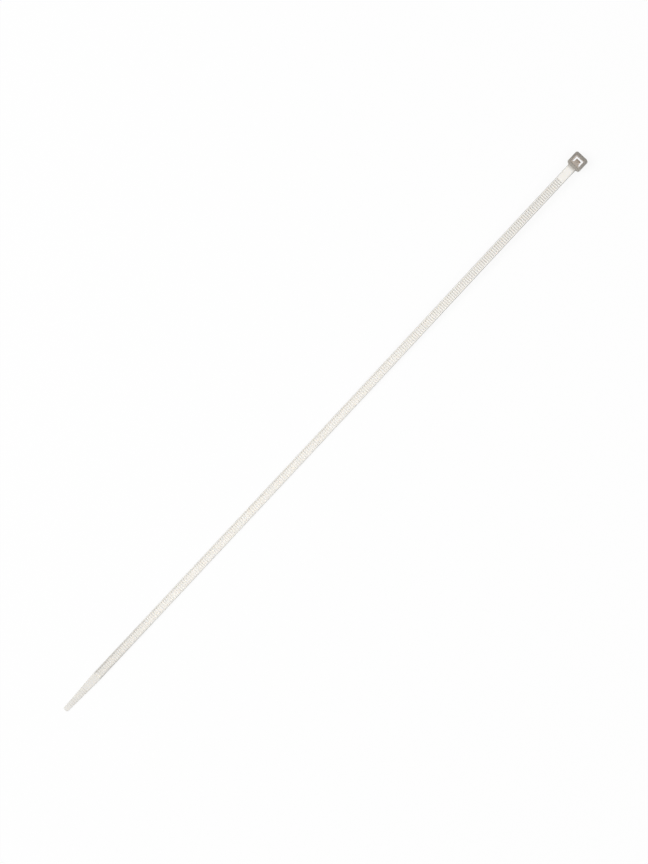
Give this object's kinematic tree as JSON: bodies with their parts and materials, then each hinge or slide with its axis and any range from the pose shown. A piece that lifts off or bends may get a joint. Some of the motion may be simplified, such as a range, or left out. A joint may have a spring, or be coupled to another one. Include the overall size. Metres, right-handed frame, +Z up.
{
  "type": "cable tie",
  "caption": "One-piece nylon cable tie: a toothed strap with a tapered ribbed tail, and a head with a slot and a locking pawl.",
  "frame": {"origin": "centre of the bounding box on the table, with z = 0 at the exit face of the head and the back of the straight part of the strap", "axes": "+X along the strap from the tail to the head, +Y across the strap, +Z up out of the toothed face"},
  "size_m": [0.3, 0.006, 0.0048],
  "materials": {
    "natural_nylon": "semi-matt natural nylon, ivory white and slightly translucent"
  },
  "bodies": {
    "root": {"cable_tie": "natural_nylon"}
  },
  "joints": []
}
